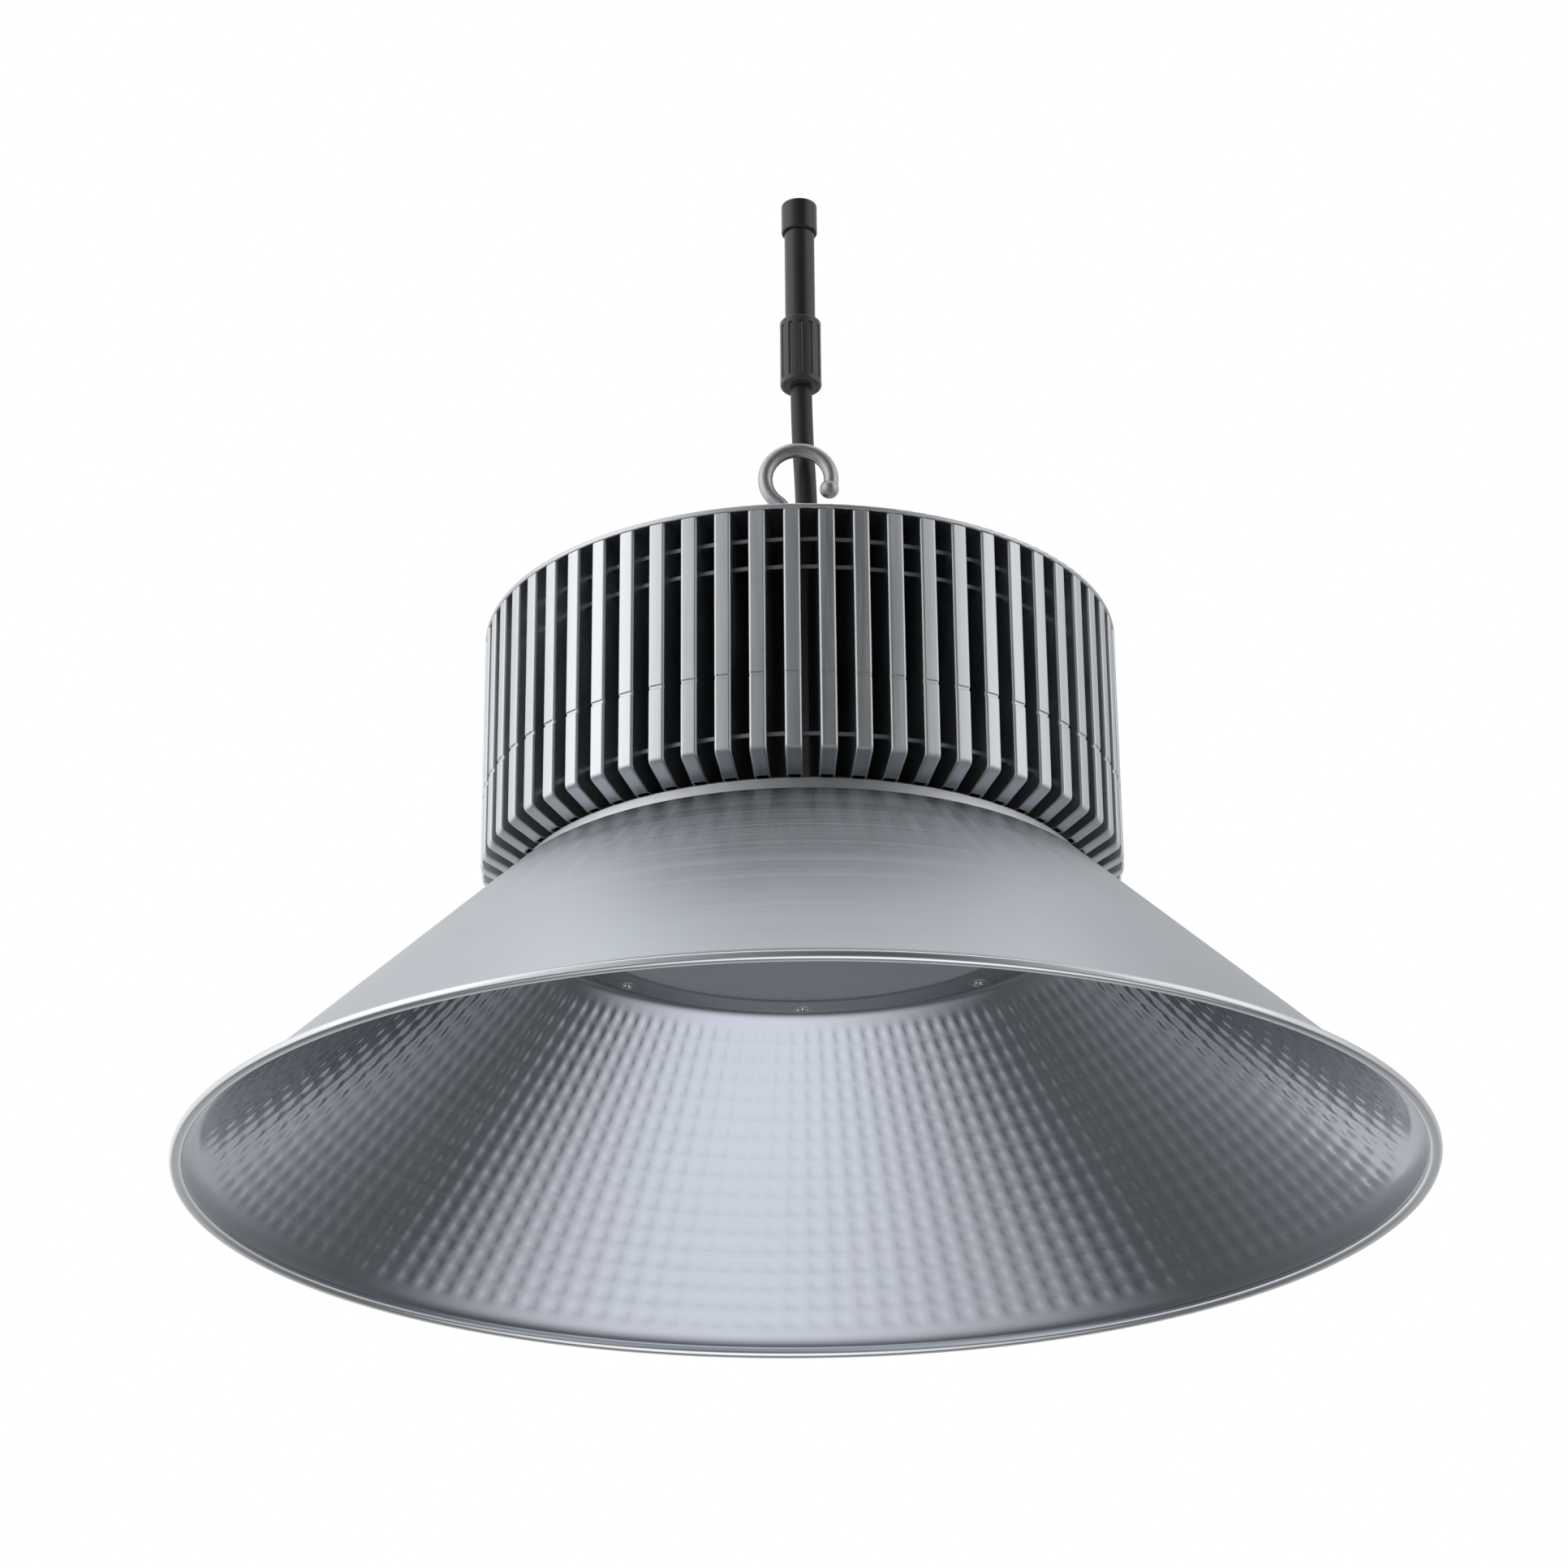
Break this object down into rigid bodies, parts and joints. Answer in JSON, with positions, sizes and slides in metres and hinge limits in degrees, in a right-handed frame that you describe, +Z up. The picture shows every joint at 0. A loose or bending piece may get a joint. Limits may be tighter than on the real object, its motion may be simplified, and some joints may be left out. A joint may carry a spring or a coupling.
{
  "type": "high bay light",
  "caption": "LED high bay light with a ring of folded cooling fins over a spun, dimpled bell reflector, an open hanging hook and a short black lead with a connector.",
  "frame": {"origin": "centre of the reflector's rim plane, on the lamp's axis", "axes": "+Z up along the lamp's axis towards the hook; the hook's eye is open along Y and its mouth is on the +X side; -Y is the front"},
  "size_m": [0.48, 0.48, 0.439],
  "materials": {
    "spun_aluminium": "satin, dimpled inside",
    "frosted_glass": "frosted tempered glass",
    "frame_aluminium": "grey painted aluminium",
    "silicone": "matt silicone",
    "steel_screws": "zinc plated",
    "plate_aluminium": "machined",
    "thermal_sheet": "soft thermal sheet",
    "board_white": "aluminium core board with white solder mask",
    "chip_phosphor": "phosphor",
    "fin_aluminium": "bright folded sheet",
    "core_aluminium": "dull, in shade",
    "cover_paint": "grey powder coat",
    "driver_potting": "potted can",
    "hook_steel": "zinc plated steel",
    "lead_rubber": "black rubber sheath",
    "grommet_rubber": "black rubber",
    "connector_black": "black nylon",
    "connector_grey": "dark grey nylon",
    "contact_brass": "plated"
  },
  "bodies": {
    "root": {"reflector_shell": "spun_aluminium", "lens": "frosted_glass", "lens_frame": "frame_aluminium", "lens_gasket": "silicone", "lens_frame_screws": "steel_screws", "base_plate": "plate_aluminium", "thermal_pad": "thermal_sheet", "led_board": "board_white", "led_chips": "chip_phosphor", "led_board_screws": "steel_screws", "led_leads": "lead_rubber", "cooling_fins": "fin_aluminium", "core_tube": "core_aluminium", "core_screws": "steel_screws", "top_plate": "cover_paint", "top_plate_screws": "steel_screws", "driver_standoffs": "plate_aluminium", "driver_module": "driver_potting", "cover_seal": "silicone", "driver_cover": "cover_paint", "cover_screws": "steel_screws", "hanging_boss": "hook_steel", "boss_screws": "steel_screws", "boss_nuts": "steel_screws", "hanging_hook": "hook_steel", "hook_lock_nut": "steel_screws", "cable_grommet": "grommet_rubber", "power_cable": "lead_rubber", "connector_nut": "connector_grey", "connector_seal": "silicone", "connector_body": "connector_black", "connector_insert": "connector_grey", "connector_contacts": "contact_brass"}
  },
  "joints": []
}
